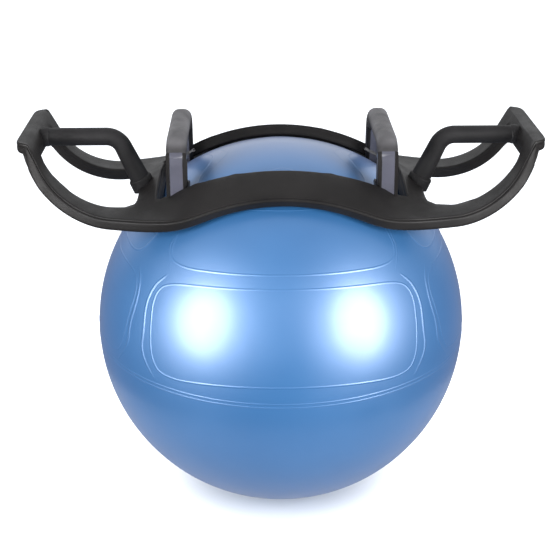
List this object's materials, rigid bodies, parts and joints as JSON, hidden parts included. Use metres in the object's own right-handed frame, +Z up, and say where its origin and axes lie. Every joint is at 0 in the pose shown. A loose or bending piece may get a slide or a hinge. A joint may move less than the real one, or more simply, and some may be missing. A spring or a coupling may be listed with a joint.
{
  "type": "exercise ball with a handle ring",
  "caption": "Inflated exercise ball carrying a saddle-shaped handle ring with upright arch handles and horizontal side bars for balance and push-up training.",
  "frame": {"origin": "on the floor, in the middle of the flat patch that the ball stands on", "axes": "+Z up; X along the handle ring's length, through both side bars; Y from front to back"},
  "size_m": [0.7298, 0.55, 0.5825],
  "materials": {
    "ball_vinyl": "glossy pearlescent vinyl",
    "valve_rubber": "soft white valve rubber",
    "ring_plastic": "matte black moulded plastic with a fine grain",
    "leg_plastic": "satin black moulded plastic",
    "grip_rubber": "soft matte black overmoulding",
    "pad_rubber": "matte black rubber",
    "steel": "zinc-plated steel"
  },
  "bodies": {
    "ball": {"ball_shell": "ball_vinyl", "valve_seat": "valve_rubber"},
    "plug": {"valve_plug": "valve_rubber"},
    "ring": {"arch_core_left": "steel", "arch_core_right": "steel", "arch_grip_left": "grip_rubber", "arch_grip_right": "grip_rubber", "arch_leg_front_left": "leg_plastic", "arch_leg_front_right": "leg_plastic", "arch_leg_rear_left": "leg_plastic", "arch_leg_rear_right": "leg_plastic", "arch_plate_front_left": "steel", "arch_plate_front_right": "steel", "arch_plate_rear_left": "steel", "arch_plate_rear_right": "steel", "arch_screws": "steel", "ball_pad_front_left": "pad_rubber", "ball_pad_front_right": "pad_rubber", "ball_pad_rear_left": "pad_rubber", "ball_pad_rear_right": "pad_rubber", "ring_base": "ring_plastic", "ring_screws": "steel", "ring_top_shell": "ring_plastic", "side_collar_left": "grip_rubber", "side_collar_right": "grip_rubber", "side_core_left": "steel", "side_core_right": "steel", "side_grip_left": "grip_rubber", "side_grip_right": "grip_rubber", "side_screws": "steel"}
  },
  "joints": [
    {"name": "ring_lift", "type": "slide", "parent": "ball", "child": "ring", "axis": [0, 0, 1], "range_m": [0, 0.15]},
    {"name": "plug_pull", "type": "slide", "parent": "ball", "child": "plug", "axis": [0, 0.8192, -0.5736], "range_m": [0, 0.02]}
  ]
}
